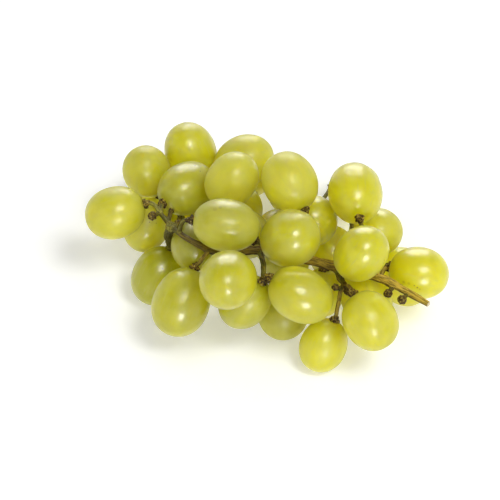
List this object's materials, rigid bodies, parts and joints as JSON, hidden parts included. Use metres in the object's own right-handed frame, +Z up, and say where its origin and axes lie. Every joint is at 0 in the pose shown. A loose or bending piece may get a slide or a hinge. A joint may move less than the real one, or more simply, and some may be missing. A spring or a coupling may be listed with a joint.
{
  "type": "bunch of grapes",
  "caption": "Bunch of pale green table grapes lying down: oval waxy berries held by woody collars and thin stalks on a brown branching stem with a cut end.",
  "frame": {"origin": "bottom centre of the bunch's bounding box, on the surface that the bunch lies on", "axes": "+X from the tip of the bunch toward the cut end of its stem, +Y from its front to its back, +Z up"},
  "size_m": [0.1472, 0.1272, 0.0664],
  "materials": {
    "berry_skin": "thin waxy skin over translucent yellow-green flesh, with a faint bloom and a few brown specks",
    "stem_wood": "dry brown to tan bark with green stretches on the thin stalks, matte"
  },
  "bodies": {
    "root": {"berry_01": "berry_skin", "berry_02": "berry_skin", "berry_03": "berry_skin", "berry_04": "berry_skin", "berry_05": "berry_skin", "berry_06": "berry_skin", "berry_07": "berry_skin", "berry_08": "berry_skin", "berry_09": "berry_skin", "berry_10": "berry_skin", "berry_11": "berry_skin", "berry_12": "berry_skin", "berry_13": "berry_skin", "berry_14": "berry_skin", "berry_15": "berry_skin", "berry_16": "berry_skin", "berry_17": "berry_skin", "berry_18": "berry_skin", "berry_19": "berry_skin", "berry_20": "berry_skin", "berry_21": "berry_skin", "berry_22": "berry_skin", "berry_23": "berry_skin", "berry_24": "berry_skin", "berry_25": "berry_skin", "berry_26": "berry_skin", "berry_27": "berry_skin", "berry_28": "berry_skin", "berry_29": "berry_skin", "berry_30": "berry_skin", "berry_31": "berry_skin", "berry_32": "berry_skin", "berry_33": "berry_skin", "berry_34": "berry_skin", "berry_35": "berry_skin", "berry_36": "berry_skin", "berry_37": "berry_skin", "berry_38": "berry_skin", "berry_39": "berry_skin", "berry_40": "berry_skin", "berry_41": "berry_skin", "stem": "stem_wood"}
  },
  "joints": []
}
